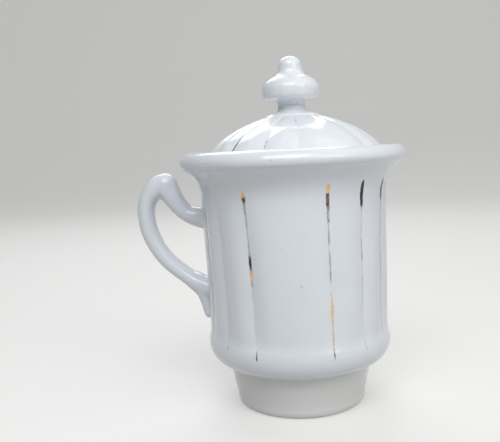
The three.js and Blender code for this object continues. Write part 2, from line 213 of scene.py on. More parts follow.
def rounded(points, steps=3):
    """A polyline whose corners given as (r, z, width) are rounded by that width."""
    made = []
    for i, p in enumerate(points):
        if len(p) == 2:
            made.append(tuple(p))
            continue
        here = np.array(p[:2], float)
        before = np.array(points[i - 1][:2], float)
        after = np.array(points[(i + 1) % len(points)][:2], float)
        a, b = before - here, after - here
        a = here + a / np.linalg.norm(a) * min(p[2], np.linalg.norm(a) * 0.45)
        b = here + b / np.linalg.norm(b) * min(p[2], np.linalg.norm(b) * 0.45)
        made.append(tuple(a))
        made += quad(a, here, b, steps)
    return made


def smooth(x, lo, hi):
    """A soft step from 0 at lo to 1 at hi."""
    t = np.clip((x - lo) / (hi - lo), 0, 1)
    return t * t * (3 - 2 * t)


def by_key(x, table):
    """A table's value at x, between its keys by their distance."""
    return np.interp(x, list(table), list(table.values()))


def outer_body():
    """The body's outside from the seat under the bead up to the lip's rounded top."""
    shoulder_bend = BEAD_TOP - 2.6
    lip_bend = LIP_BOTTOM + 0.25 * (LIP_LINE - LIP_BOTTOM)
    lip_h = RIM_TOP - LIP_BOTTOM
    points = [(SEAT_R, SPIGOT_H)]
    bead = (BEAD_R, BEAD_WIDEST)
    points += cubic(points[-1], *bend_points(points[-1], bead, BEAD_CURVE), bead, 18)
    points += quad(points[-1], (BEAD_R, (BEAD_WIDEST + SHOULDER) / 2), (SHOULDER_R, SHOULDER), 5)
    points += quad(points[-1], (WALL_LOW_R, shoulder_bend), (WALL_LOW_R, BEAD_TOP), 8)
    points += line(points[-1], (WALL_TOP_R, WALL_TOP), 58)
    flare = (FLARE_R, LIP_BOTTOM)
    points += cubic(points[-1], *bend_points(points[-1], flare, FLARE_CURVE), flare, 26)
    points += quad(points[-1], (LIP_R, lip_bend), (LIP_R, LIP_LINE), 8)
    points += quad(points[-1], (LIP_R - LIP_ROUND * 0.18, RIM_TOP - lip_h * 0.1),
                   (LIP_R - LIP_ROUND, RIM_TOP), 10)
    return points


def wall_radius(z):
    """The outline's radius at heights above the bead's widest line."""
    r, h = np.array([p for p in outer_body() if BEAD_WIDEST <= p[1] <= LIP_LINE]).T
    return np.interp(z, h, r)


def from_front(angles):
    """Angles from the front, from -180 to 180 degrees."""
    return (angles + 180) % 360 - 180


def swung(angles, z):
    """Angles of the lobes' columns at each height, for a wall that is turned a little as it rises."""
    at = from_front(angles)
    rows = np.array([np.interp(at, SWING_AT, turns, left=0, right=0) for turns in SWING.values()])
    return angles[:, None] + np.array([np.interp(z, list(SWING), column) for column in rows.T])


def valley_angles():
    side = [WIDE_PANEL / 2 + NARROW_PANEL * i for i in range(SIDE_PANELS + 1)]
    return np.array(sorted([-a for a in side] + side))


VALLEYS = valley_angles()


def valley_dip(angle):
    """How much of the valley's depth each angle takes."""
    away = np.abs((np.asarray(angle)[..., None] - VALLEYS + 180) % 360 - 180).min(-1)
    away = np.sqrt(np.minimum(away, NARROW_PANEL / 2) ** 2 + VALLEY_ROUNDING ** 2) - VALLEY_ROUNDING
    return 1 - np.sin(np.pi * np.clip(away, 0, NARROW_PANEL / 2) / NARROW_PANEL)


def columns():
    """The angles of a lobed piece's columns, close together at the valleys."""
    near = [0, 0.3, 0.6, 0.95, 1.4, 2, 2.8, 3.8, 5, 6.5, 8.2, 10, 11]
    narrow = near + [NARROW_PANEL - a for a in near[-2:0:-1]]
    middle = [13, 15.5, 18, 21, 24, 27, 30, 32.5, 35]
    wide = near + middle + [WIDE_PANEL - a for a in near[:0:-1]]
    half = [(WIDE_PANEL, wide)] + [(NARROW_PANEL, narrow)] * SIDE_PANELS
    made = []
    start = -WIDE_PANEL / 2
    for width, panel in half + half:
        made += [start + a for a in panel]
        start += width
    return np.array(made)


ANGLES = columns()


# Meshes

def make(name, verts, faces, body, replaces, material, sharp=38, attributes=None):
    """A piece from vertices in millimetres about the vessel's axis."""
    verts = np.asarray(verts, float).copy()
    verts[:, 0] += AXIS_X
    mesh = bpy.data.meshes.new(name)
    mesh.from_pydata((verts * MM).tolist(), [], [tuple(map(int, f)) for f in faces])
    mesh.polygons.foreach_set("use_smooth", [True] * len(mesh.polygons))
    mesh.set_sharp_from_angle(angle=math.radians(sharp))
    for key, values in (attributes or {}).items():
        mesh.attributes.new(key, "FLOAT", "POINT").data.foreach_set("value", np.asarray(values, np.float32))
    mesh.update()
    piece = bpy.data.objects.new(name, mesh)
    bpy.context.scene.collection.objects.link(piece)
    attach(piece, body)
    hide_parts(*replaces)
    mesh.materials.append(material)


def lathe(outline, angles, dip_depth=None, turn=0.0, shift=0.0, closed=True, swing=None):
    """Vertices and faces of a turned or lobed surface. The outline's outside goes upwards.

    shift is along X, one for all or one for each point, and swing gives each column's angles by height.
    """
    outline = np.array(outline)
    r = np.repeat(outline[None, :, 0], len(angles), 0)
    z = np.repeat(outline[None, :, 1], len(angles), 0)
    if dip_depth is not None:
        r = r - valley_dip(angles)[:, None] * dip_depth[None, :]
    a = np.radians((angles[:, None] if swing is None else swing) + turn)
    verts = np.stack([r * np.sin(a) + shift, -r * np.cos(a), z], -1).reshape(-1, 3)
    n, m = len(angles), len(outline)
    i, j = np.meshgrid(np.arange(n), np.arange(m if closed else m - 1), indexing="ij")
    k, l = (i + 1) % n, (j + 1) % m
    faces = np.stack([i * m + j, k * m + j, k * m + l, i * m + l], -1).reshape(-1, 4)
    return verts, faces


def closed_at_axis(outline, angles, shift=0.0):
    """A turned solid whose outline runs from the axis at the bottom round to the axis at the top."""
    verts, faces = lathe(outline[1:-1], angles, shift=shift, closed=False)
    n, m = len(angles), len(outline) - 2
    low, high = len(verts), len(verts) + 1
    verts = np.vstack([verts, [shift, 0, outline[0][1]], [shift, 0, outline[-1][1]]])
    faces = [tuple(f) for f in faces]
    for i in range(n):
        k = (i + 1) % n
        faces.append((low, k * m, i * m))
        faces.append((high, i * m + m - 1, k * m + m - 1))
    return verts, faces


def circle(x, y, radius, sides):
    """Points on a circle in the plane."""
    turns = [2 * math.pi * i / sides for i in range(sides)]
    return [(x + radius * math.cos(a), y + radius * math.sin(a)) for a in turns]


def pierced(radius, bottom, top, holes, hole_r, rim_sides=144, sides=20, edge=0.35):
    """A round plate with round holes through it, each with a small rounded edge at both ends."""
    flat, edges = [], []
    for x, y, r, n in [(0, 0, radius, rim_sides)] + [(x, y, hole_r + edge, sides) for x, y in holes]:
        start = len(flat)
        flat += [Vector(p) for p in circle(x, y, r, n)]
        edges += [(start + i, start + (i + 1) % n) for i in range(n)]
    points, _, triangles, *_ = delaunay_2d_cdt(flat, edges, [], 1, 1e-6)
    at = np.array([(p.x, p.y) for p in points])
    centres = np.array(holes)
    kept = []
    for t in triangles:
        c = at[list(t)].mean(0)
        if np.hypot(*(centres - c).T).min() > hole_r + edge * 0.5:
            kept.append(tuple(t))
    n = len(at)
    verts = np.vstack([np.column_stack([at, np.full(n, top)]), np.column_stack([at, np.full(n, bottom)])])
    verts = list(map(tuple, verts))
    faces = kept + [tuple(i + n for i in t[::-1]) for t in kept]
    levels = [(hole_r + edge, top), (hole_r + edge * 0.3, top - edge * 0.3), (hole_r, top - edge),
              (hole_r, bottom + edge), (hole_r + edge * 0.3, bottom + edge * 0.3), (hole_r + edge, bottom)]
    for x, y in holes:
        start = len(verts)
        for r, z in levels:
            verts += [(*p, z) for p in circle(x, y, r, sides)]
        for k in range(len(levels) - 1):
            for i in range(sides):
                j = (i + 1) % sides
                a, b = start + k * sides, start + (k + 1) * sides
                faces.append((a + i, a + j, b + j, b + i))
    return verts, faces


# Gilded lines

# Each line's keys: height, half width, and how much gold, black and grey cover the glaze. The black is a
# painted reflection of black surroundings on the gold, and the grey is partly gilding rubbed away and partly
# painted shade in the valley; where it is faintest it is painted shade only.
FRONT_LEFT = [
    (121.8, 0.3, 1, 0, 0), (120.9, 0.85, 1, 0, 0), (118.5, 1.1, 1, 0, 0), (118.1, 1.1, 0.1, 1, 0),
    (116.4, 0.9, 0.1, 1, 0), (115.1, 0.7, 0, 0.5, 0.5), (114, 0.7, 0, 0, 0.75), (110.6, 0.6, 0, 0, 0.7),
    (108.5, 0.5, 0, 0, 0.5), (104.7, 0.55, 0, 0, 0.6), (101.7, 0.4, 0, 0, 0.45), (95.6, 0.45, 0, 0, 0.55),
    (90.1, 0.5, 0, 0, 0.6), (89, 0.65, 0.05, 0.4, 0.5), (88, 0.8, 0.15, 0.9, 0), (84, 0.85, 0.1, 1, 0),
    (81.5, 0.8, 0.3, 0.8, 0), (80.3, 0.75, 0.85, 0.15, 0), (77, 0.75, 0.8, 0.1, 0), (76, 0.75, 0.4, 0.5, 0),
    (72.8, 0.7, 0.35, 0.55, 0), (72.3, 0.35, 0, 0, 0.3), (66.5, 0.3, 0, 0, 0.15), (64, 0.3, 0, 0, 0.06),
    (41, 0.3, 0, 0, 0.08), (40.4, 0.35, 0.4, 0.2, 0.1), (39.4, 0.45, 0.4, 0.5, 0), (38, 0.5, 0.25, 0.8, 0),
    (36.2, 0.5, 0, 0.85, 0), (34.4, 0.1, 0, 0.2, 0)]
FRONT_RIGHT = [
    (123.7, 0.3, 1, 0, 0), (122.8, 0.75, 1, 0, 0), (121.5, 0.95, 1, 0, 0), (119.5, 0.95, 1, 0, 0),
    (119.1, 0.95, 0, 1, 0), (117.7, 0.95, 0.3, 1, 0), (114.2, 0.9, 0.35, 0.95, 0), (113.3, 0.85, 0.1, 1, 0),
    (112.6, 0.8, 0, 0.6, 0.4), (110.6, 0.75, 0.15, 0.35, 0.6), (107.2, 0.7, 0.1, 0.3, 0.6),
    (106.6, 0.65, 0, 0.7, 0.3), (104.2, 0.6, 0, 0.7, 0.3), (103.4, 0.4, 0, 0, 0.6), (94.4, 0.4, 0, 0, 0.65),
    (93.8, 0.25, 0, 0, 0.25), (90.4, 0.25, 0, 0, 0.25), (89.6, 0.55, 0, 0, 0.5), (83.8, 0.6, 0, 0, 0.45),
    (83, 0.45, 0, 0, 0.65), (77.8, 0.45, 0, 0.1, 0.75), (75.3, 0.35, 0, 0, 0.5), (74.5, 0.2, 0, 0, 0.2),
    (70.6, 0.2, 0, 0, 0.15), (69.8, 0.4, 0.5, 0, 0.1), (66, 0.55, 0.75, 0, 0), (59.6, 0.75, 0.85, 0, 0),
    (56.6, 0.6, 0.6, 0, 0.2), (52.6, 0.5, 0.5, 0, 0.3), (50.5, 0.5, 0.4, 0.1, 0.35),
    (44.4, 0.5, 0.4, 0.15, 0.35), (41.4, 0.5, 0.35, 0.2, 0.4), (40.3, 0.5, 0.2, 0.6, 0.3),
    (38, 0.55, 0, 0.8, 0.2), (36.6, 0.4, 0, 0.4, 0.3), (34.6, 0.1, 0, 0, 0)]
RIGHT = [
    (124.4, 0.3, 0, 1, 0), (123, 0.85, 0, 1, 0), (121.6, 1.2, 0, 1, 0), (116, 1.2, 0, 1, 0),
    (112, 1.0, 0, 1, 0), (110.8, 0.75, 0.1, 0.5, 0.4), (108.9, 0.7, 0, 0, 0.4), (108, 0.4, 0, 0, 0.15),
    (99.5, 0.45, 0, 0, 0.25), (95.9, 0.45, 0, 0, 0.25), (95, 0.55, 0, 0, 0.5), (83.4, 0.5, 0, 0, 0.55),
    (82.2, 0.3, 0, 0, 0.15), (80.4, 0.35, 0, 0, 0.3), (77.5, 0.3, 0, 0, 0.1), (74.2, 0.4, 0, 0, 0.35),
    (62, 0.35, 0, 0, 0.25), (57, 0.3, 0, 0, 0.06), (44, 0.3, 0, 0, 0.1), (41.5, 0.4, 0, 0, 0.3),
    (38, 0.35, 0, 0.1, 0.3), (36.5, 0.1, 0, 0, 0)]
FAR_RIGHT = [
    (124.6, 0.3, 0, 0.6, 0), (122.5, 1.1, 0, 0.95, 0), (118, 1.3, 0, 0.9, 0.1), (113.5, 1.15, 0, 0.8, 0.2),
    (112.2, 0.9, 0, 0.1, 0.5), (108, 0.9, 0, 0, 0.4), (86, 0.8, 0, 0, 0.35), (84.5, 0.9, 0, 0, 0.6),
    (79, 0.9, 0, 0.15, 0.65), (77, 0.8, 0, 0, 0.45), (72, 0.7, 0, 0, 0.35), (60, 0.6, 0, 0, 0.3),
    (45, 0.7, 0, 0.1, 0.35), (39.5, 0.1, 0, 0, 0)]
LEFT = [
    (121, 0.3, 0, 0, 0.1), (112, 0.5, 0, 0, 0.12), (90, 0.5, 0, 0, 0.12), (66, 0.6, 0, 0, 0.16),
    (48, 0.6, 0, 0, 0.2), (41, 0.4, 0, 0, 0.08), (40.2, 0.5, 0.1, 0.35, 0.2), (38.3, 0.5, 0, 0.4, 0.1),
    (37.7, 0.1, 0, 0, 0)]
FAR_LEFT = [
    (118, 0.3, 0, 0.2, 0.4), (114, 1.0, 0, 0.3, 0.6), (96, 1.1, 0, 0.35, 0.6), (80, 1.0, 0, 0.2, 0.6),
    (76, 0.7, 0, 0, 0.4), (72, 0.9, 0, 0, 0.5), (54, 0.9, 0, 0.1, 0.5), (46, 0.8, 0, 0.2, 0.4),
    (41, 0.5, 0, 0, 0.3), (39, 0.1, 0, 0, 0)]
LINES = {-24: FRONT_LEFT, 24: FRONT_RIGHT, 46: RIGHT, 68: FAR_RIGHT, -46: LEFT, -68: FAR_LEFT,
         -90: LEFT, 90: RIGHT, 112: FRONT_RIGHT, -112: FRONT_LEFT, 134: FAR_RIGHT, -134: RIGHT,
         156: FRONT_LEFT, -156: FRONT_RIGHT}

# The same for the lid, by the distance from its axis. No line of the lid reaches UNPAINTED_R.
UNPAINTED_R = 60
LID_GREY_TRACE = [
    (18, 0.2, 0, 0, 0.1), (24, 0.35, 0, 0, 0.4), (34, 0.4, 0, 0.1, 0.5), (42, 0.4, 0, 0.1, 0.5),
    (46.5, 0.4, 0, 0.2, 0.4), (48.4, 0.1, 0, 0, 0)]
LID_DARK = [
    (20, 0.2, 0, 0, 0.1), (28, 0.35, 0, 0, 0.3), (37, 0.4, 0, 0.2, 0.4), (39, 0.5, 0, 0.6, 0.2),
    (45, 0.65, 0.1, 0.9, 0), (48, 0.6, 0, 0.9, 0), (48.8, 0.1, 0, 0, 0)]
LID_SHORT = [
    (20, 0.2, 0, 0, 0.05), (41.5, 0.25, 0, 0, 0.15), (43, 0.45, 0, 0.35, 0.3), (46, 0.45, 0, 0.4, 0.2),
    (47.2, 0.1, 0, 0, 0)]
LID_BITS = [
    (17, 0.3, 0, 0, 0.25), (22, 0.3, 0, 0, 0.3), (24, 0.45, 0, 0.25, 0.4), (28, 0.4, 0, 0.2, 0.3),
    (30, 0.2, 0, 0, 0.05), (47, 0.1, 0, 0, 0)]
LID_MARK = [(42.5, 0.1, 0, 0, 0), (43.5, 0.35, 0, 0, 0.35), (46, 0.35, 0, 0.1, 0.3), (47, 0.1, 0, 0, 0)]
LID_LINES = {24: LID_MARK, -24: LID_BITS, 46: LID_GREY_TRACE, -46: LID_SHORT, 68: LID_GREY_TRACE, -68: LID_DARK,
             90: LID_SHORT, -90: LID_GREY_TRACE, 112: LID_DARK, -112: LID_BITS, 134: LID_GREY_TRACE, -134: LID_SHORT,
             156: LID_BITS, -156: LID_DARK}


def line_attributes(radius, along, lines, count):
    """Per vertex: the distance from the nearest line, and that line's half width and cover.

    radius and along belong to a column's first points. The rest of its count points get 0.
    """
    away = np.abs((ANGLES[:, None] - VALLEYS + 180) % 360 - 180)
    keys = [np.array(sorted(lines[int(valley)]), float).T for valley in VALLEYS]
    nearest = [keys[i] for i in away.argmin(1)]
    made = {"line_across": np.radians(away.min(1))[:, None] * radius[None, :]}
    for n, name in enumerate(("line_half", "line_gold", "line_dark_reflection", "line_worn_and_shade"), 1):
        made[name] = np.array([np.interp(along, k[0], k[n], left=0, right=0) for k in nearest])
    return {name: np.pad(values, ((0, 0), (0, count - len(along)))).ravel() for name, values in made.items()}


# Materials

BODY_LIGHT = (0.785, 0.82, 0.87)
BODY_SHADE = (0.75, 0.785, 0.83)
LOOSE_LIGHT = (0.77, 0.79, 0.82)
LOOSE_SHADE = (0.72, 0.75, 0.78)
# The lid's and knob's porcelain is a lighter copy of the body's: painted light for the stronger light that
# falls on the top pieces.
LID_LIGHT = (0.825, 0.855, 0.895)
LID_SHADE = (0.795, 0.825, 0.865)
SPECK = (0.34, 0.31, 0.27)
# painted shade with a warmer painted reflection, for the collar below the seat
PAINTED_COLLAR_SHADE = (0.765, 0.755, 0.73)
BARE_CLAY = (0.60, 0.56, 0.49)
# painted shade for the knob's fine creases
CREASE_SHADE_COLOUR = (0.13, 0.14, 0.15)
# The gold's black tone is a painted reflection of black surroundings, and the grey tone is partly gilding
# rubbed away and partly painted shade in the valleys.
LINE_TONES = {"worn_and_shade": (0.17, 0.18, 0.19), "dark_reflection": (0.016, 0.011, 0.007), "gold": (0.80, 0.46, 0.17)}


class Finish:
    """A material and short names for the nodes that it is made of."""

    def __init__(self, name, rough):
        self.material = bpy.data.materials.new(name)
        self.material.use_nodes = True
        self.tree = self.material.node_tree
        self.shader = self.tree.nodes["Principled BSDF"]
        self.shader.inputs["IOR"].default_value = 1.5
        self.shader.inputs["Roughness"].default_value = rough
        self.place = self.node("ShaderNodeTexCoord").outputs["Object"]

    def node(self, kind, **settings):
        made = self.tree.nodes.new(kind)
        for key, value in settings.items():
            setattr(made, key, value)
        return made

    def put(self, value, socket):
        if isinstance(value, bpy.types.NodeSocket):
            self.tree.links.new(value, socket)
        else:
            socket.default_value = value

    def math(self, what, a, b=0.0):
        made = self.node("ShaderNodeMath", operation=what)
        self.put(a, made.inputs[0])
        self.put(b, made.inputs[1])
        return made.outputs[0]

    def ranged(self, value, lo, hi, to_lo=0.0, to_hi=1.0):
        made = self.node("ShaderNodeMapRange", interpolation_type="SMOOTHSTEP")
        for socket, v in zip(made.inputs, (value, lo, hi, to_lo, to_hi)):
            self.put(v, socket)
        return made.outputs[0]

    def mix(self, share, a, b):
        made = self.node("ShaderNodeMix", data_type="RGBA", clamp_factor=True)
        self.put(share, made.inputs["Factor"])
        self.put(a, made.inputs[6])
        self.put(b, made.inputs[7])
        return made.outputs[2]

    def noise(self, scale, detail=2.0, rough=0.5, stretch=None, seed=0.0):
        made = self.node("ShaderNodeTexNoise")
        made.inputs["Scale"].default_value = scale
        made.inputs["Detail"].default_value = detail
        made.inputs["Roughness"].default_value = rough
        spot = self.node("ShaderNodeMapping")
        self.put(self.place, spot.inputs["Vector"])
        spot.inputs["Location"].default_value = (seed, seed * 0.7, -seed)
        if stretch:
            spot.inputs["Scale"].default_value = stretch
        self.put(spot.outputs[0], made.inputs["Vector"])
        return made.outputs["Fac"]

    def height(self):
        made = self.node("ShaderNodeSeparateXYZ")
        self.put(self.place, made.inputs[0])
        return made.outputs["Z"]

    def attribute(self, name):
        return self.node("ShaderNodeAttribute", attribute_name=name, attribute_type="GEOMETRY").outputs["Fac"]

    def bump(self, height, strength, distance, normal=None):
        made = self.node("ShaderNodeBump")
        made.inputs["Strength"].default_value = strength
        made.inputs["Distance"].default_value = distance
        self.put(height, made.inputs["Height"])
        if normal is not None:
            self.put(normal, made.inputs["Normal"])
        return made.outputs[0]


def collar_shade_and_bare_foot(f, colour, rough):
    """Painted shade on the collar: below the seat it takes a greyer, warmer tone that stands for the shade
    and the warmer reflection it gets from below, and the ring that it stands on is bare.
    """
    z = f.height()
    # below the seat the collar is painted greyer and warmer, as painted shade and reflection
    collar_shade_share = f.ranged(z, (SPIGOT_H + 0.3) * MM, (SPIGOT_H - 0.5) * MM)
    colour = f.mix(f.math("MULTIPLY", collar_shade_share, 0.75), colour, (*PAINTED_COLLAR_SHADE, 1))
    ragged = f.ranged(f.noise(260, 3, seed=5.0), 0.2, 0.8, -0.4 * MM, 0.4 * MM)
    bare = f.ranged(f.math("ADD", z, ragged), 0.9 * MM, 0.5 * MM)
    colour = f.mix(bare, colour, (*BARE_CLAY, 1))
    return colour, f.math("MAXIMUM", rough, f.math("MULTIPLY", bare, 0.6))


def crease_shade_line(f, colour, level, width, cover):
    """A fine line of painted shade along a crease at the given level."""
    off = f.math("ABSOLUTE", f.math("SUBTRACT", f.height(), level * MM))
    near = f.ranged(off, width * MM, 0.0)
    patchy = f.ranged(f.noise(160, 2, seed=9.0), 0.35, 0.65, 0.4, 1.0)
    share = f.math("MULTIPLY", f.math("MULTIPLY", near, patchy), cover)
    return f.mix(share, colour, (*CREASE_SHADE_COLOUR, 1))


def gilding(f, colour, rough):
    """Gilded lines: gold where it is left, black where a painted reflection of black surroundings stands on
    the gold, and a grey trace that is partly gilding rubbed away and partly painted shade in the valley.
    """
    wobble = f.ranged(f.noise(900, 2, 0.6, seed=2.0), 0.25, 0.75, -0.14, 0.14)
    wander = f.ranged(f.noise(150, 1, seed=2.6), 0.3, 0.7, -0.12, 0.12)
    across = f.math("ADD", f.attribute("line_across"), f.math("ADD", wobble, wander))
    inside = f.ranged(f.math("SUBTRACT", f.attribute("line_half"), across), -0.12, 0.14)
    grain = f.noise(1000, 4, 0.65, stretch=(1, 1, 0.3), seed=8.0)
    shares = {}
    for part, tone in LINE_TONES.items():
        cover = f.attribute("line_" + part)
        if part == "worn_and_shade":
            thin = f.ranged(grain, 0.28, 0.62, 0.45, 1.0)
        else:
            missing = f.math("MULTIPLY", f.math("SUBTRACT", 1.0, cover), 0.45)
            thin = f.ranged(f.math("SUBTRACT", grain, missing), 0.12, 0.3)
        shares[part] = f.math("MULTIPLY", f.math("MULTIPLY", inside, thin), cover)
        colour = f.mix(shares[part], colour, (*tone, 1))
    f.put(f.math("MULTIPLY", shares["gold"], 0.6), f.shader.inputs["Metallic"])
    painted = f.math("MAXIMUM", shares["gold"], shares["dark_reflection"])
    return colour, f.math("ADD", rough, f.math("MULTIPLY", painted, 0.14))


def glaze(name, light, shade, lines=False, foot=False, crease_shades=()):
    """Bright glazed porcelain: slight pooling of colour, tiny specks, and a softly uneven surface."""
    f = Finish(name, 0.12)
    pooled = f.ranged(f.noise(14, 3, 0.55), 0.35, 0.68)
    colour = f.mix(pooled, (*light, 1), (*shade, 1))
    specks = f.ranged(f.noise(520, 0, seed=3.1), 0.855, 0.885)
    colour = f.mix(f.math("MULTIPLY", specks, 0.3), colour, (*SPECK, 1))
    rough = f.ranged(f.noise(45, 2, seed=1.7), 0.3, 0.7, 0.09, 0.17)
    if foot:
        colour, rough = collar_shade_and_bare_foot(f, colour, rough)
    for level, width, cover in crease_shades:
        colour = crease_shade_line(f, colour, level, width, cover)
    if lines:
        colour, rough = gilding(f, colour, rough)
    f.put(colour, f.shader.inputs["Base Color"])
    f.put(rough, f.shader.inputs["Roughness"])
    normal = f.bump(f.noise(9, 2, seed=4.0), 0.35, 0.0012)
    normal = f.bump(f.noise(420, 2, seed=6.0), 0.05, 0.0004, normal)
    f.put(normal, f.shader.inputs["Normal"])
    return f.material


body_glaze = glaze("body_porcelain", BODY_LIGHT, BODY_SHADE, lines=True, foot=True)
plain_glaze = glaze("handle_porcelain", BODY_LIGHT, BODY_SHADE)
inner_glaze = glaze("loose_porcelain", LOOSE_LIGHT, LOOSE_SHADE)
# The lid and knob take the lighter copy of the porcelain, painted light for the top pieces.
lid_glaze = glaze("lid_porcelain", LID_LIGHT, LID_SHADE, lines=True)
# The knob's two crease lines, at the neck and under the finial, are painted shade.
knob_glaze = glaze("knob_porcelain", LID_LIGHT, LID_SHADE,
                   crease_shades=((NECK + 0.25, 0.7, 0.14), (CREASE + 0.15, 0.3, 0.3)))


# Vessel

def vessel():
    """Body and collar, which the glaze makes one skin, with the ledge, the chamber and the throat inside."""
    outside = rounded([(RING_INSIDE_R, 0, 0.6), (STAND_R - 0.3, 0)])
    outside += quad((STAND_R, 0), (SPIGOT_LOW_R, 0), (SPIGOT_LOW_R, FOOT_EDGE_H), 10)
    outside += line(outside[-1], (SPIGOT_TOP_R, SPIGOT_H - 0.35), 14)
    outside += quad(outside[-1], (SPIGOT_TOP_R + 0.05, SPIGOT_H - 0.02), (SPIGOT_TOP_R + 0.5, SPIGOT_H), 3)
    outside += [(SPIGOT_TOP_R + 1.6, SPIGOT_H), (SEAT_R - 0.4, SPIGOT_H)]
    outside += outer_body()
    inside = rounded([
        (LIP_R - LIP_ROUND, RIM_TOP), (GALLERY_R + 1.2, RIM_TOP, 0.5), (GALLERY_R, RIM_TOP - 1.2, 0.5),
        (GALLERY_R, LEDGE_TOP, 0.5), (MOUTH_R, LEDGE_TOP, 0.8), (MOUTH_R, MOUTH_BOTTOM)])[1:]
    inside += quad(inside[-1], (CHAMBER_TOP_R, WALL_TOP + FLARE_H / 2), (CHAMBER_TOP_R, WALL_TOP), 8)
    inside += line(inside[-1], (CHAMBER_LOW_R, FLOOR_TOP + 1.5), 16)
    inside += quad(inside[-1], (CHAMBER_LOW_R, FLOOR_TOP), (CHAMBER_LOW_R - 1.5, FLOOR_TOP), 4)
    inside += rounded([
        inside[-1], (THROAT_R, FLOOR_TOP, 0.8), (THROAT_R, SPIGOT_H + 1.3), (STRAINER_R, STRAINER_TOP + 0.3),
        (STRAINER_R, STRAINER_LOW), (RING_INSIDE_R, STRAINER_LOW)])[1:]
    profile = outside + inside
    r, z = np.array(profile).T
    painted = len(outside)
    # only the outside is lobed and leans
    lobed = (np.arange(len(profile)) < painted) & (r > LOBED_R)
    depth = np.where(lobed, by_key(z, VALLEY_DEPTH), 0)
    swing = np.where(lobed, swung(ANGLES, z), ANGLES[:, None])
    verts, faces = lathe(profile, ANGLES, depth, shift=np.where(lobed, by_key(z, LEAN), 0), swing=swing)
    lines = line_attributes(r[:painted], z[:painted], LINES, len(profile))
    make("vessel_porcelain", verts, faces, "vessel", ("dripper_body", "foot_spigot"),
         body_glaze, attributes=lines)


# Handle

# Distance from the wall as a share of the reach, share of the way up between the roots, and the limb's
# depth and width as shares of their own sizes
ARM = [(-0.071, 0.98, 1.48, 1.331), (0.146, 1.005, 1.16, 1.129), (0.309, 1.06, 0.99, 1.016),
       (0.443, 1.175, 1.02, 1), (0.546, 1.31, 1.18, 1.048), (0.64, 1.45, 1.38, 1.081)]
BOW = [(0.64, 1.45, 1.38, 1.081), (0.749, 1.436, 1.32, 1.081), (0.846, 1.37, 1.2, 1.065),
       (0.94, 1.27, 1.06, 1.032), (0.989, 1.15, 1, 1), (1, 1.02, 0.97, 0.968), (0.98, 0.86, 0.97, 0.952),
       (0.92, 0.7, 0.96, 0.935), (0.829, 0.545, 0.93, 0.935), (0.7, 0.395, 0.91, 0.952),
       (0.543, 0.27, 0.9, 0.984), (0.374, 0.16, 0.92, 1.032), (0.214, 0.07, 1.02, 1.097),
       (-0.071, -0.035, 1.16, 1.177)]
TAIL = [(0.214, 0.07, 1, 1.016), (0.12, -0.09, 0.76, 0.887), (0.066, -0.235, 0.72, 0.774),
        (0.044, -0.32, 0.72, 0.71), (0.032, -0.368, 0.7, 0.677)]

# The space that holds the handle, from the axis, and the size of the cells that its surface is found in
GRID_LOW = np.array([-92.0, -10.5, 43.0])
GRID_SIZE = np.array([46.9, 21.7, 90.3])
GRID_STEP = 0.62
POINTS_AT_ONCE = 20000


def spline(points, per=24):
    """A smooth curve through the points, with this many steps between each two."""
    p = np.array(points, float)
    p = np.vstack([2 * p[0] - p[1], p, 2 * p[-1] - p[-2]])
    made = []
    for i in range(1, len(p) - 2):
        t0, t1, t2 = [max(np.linalg.norm(p[i + k] - p[i + k - 1]) ** 0.5, 1e-3) for k in (0, 1, 2)]
        m1 = (p[i] - p[i - 1]) / t0 - (p[i + 1] - p[i - 1]) / (t0 + t1) + (p[i + 1] - p[i]) / t1
        m2 = (p[i + 1] - p[i]) / t1 - (p[i + 2] - p[i]) / (t1 + t2) + (p[i + 2] - p[i + 1]) / t2
        m1, m2 = m1 * t1, m2 * t1
        t = np.linspace(0, 1, per, endpoint=False)[:, None]
        made.append((2 * t ** 3 - 3 * t ** 2 + 1) * p[i] + (t ** 3 - 2 * t ** 2 + t) * m1
                    + (3 * t ** 2 - 2 * t ** 3) * p[i + 1] + (t ** 3 - t ** 2) * m2)
    return np.vstack(made + [p[-2]])


def limb(stations):
    """A limb's middle line in the handle's plane, its directions and its half sizes."""
    z = LOWER_ROOT + np.array([s[1] for s in stations]) * (UPPER_ROOT - LOWER_ROOT)
    x = -(WALL_LOW_R + (z - BEAD_TOP) / (WALL_TOP - BEAD_TOP) * (WALL_TOP_R - WALL_LOW_R)
          + REACH * np.array([s[0] for s in stations]))
    middle = spline(np.column_stack([x, z]))
    half = spline([(s[2] * LIMB_DEPTH / 2, s[3] * LIMB_WIDTH / 2) for s in stations])
    way = np.gradient(middle, axis=0)
    return middle, way / np.linalg.norm(way, axis=1, keepdims=True), half


LIMBS = [limb(s) for s in (ARM, BOW, TAIL)]


def from_limb(p, middle, way, half):
    """Distance of points from a limb of oval section with rounded ends, below 0 inside it."""
    made = np.empty(len(p))
    for start in range(0, len(p), POINTS_AT_ONCE):
        q = p[start:start + POINTS_AT_ONCE]
        flat = q[:, [0, 2]]
        near = ((flat[:, None] - middle[None]) ** 2).sum(-1).argmin(1)
        off = flat - middle[near]
        end = (near == 0) | (near == len(middle) - 1)
        ahead = np.where(end, (off * way[near]).sum(1), 0)
        side = off[:, 0] * way[near][:, 1] - off[:, 1] * way[near][:, 0]
        a, b = half[near].T
        k0 = np.sqrt((side / a) ** 2 + (q[:, 1] / b) ** 2 + (ahead / a) ** 2)
        k1 = np.sqrt((side / a ** 2) ** 2 + (q[:, 1] / b ** 2) ** 2 + (ahead / a ** 2) ** 2)
        made[start:start + POINTS_AT_ONCE] = k0 * (k0 - 1) / np.maximum(k1, 1e-6)
    return made


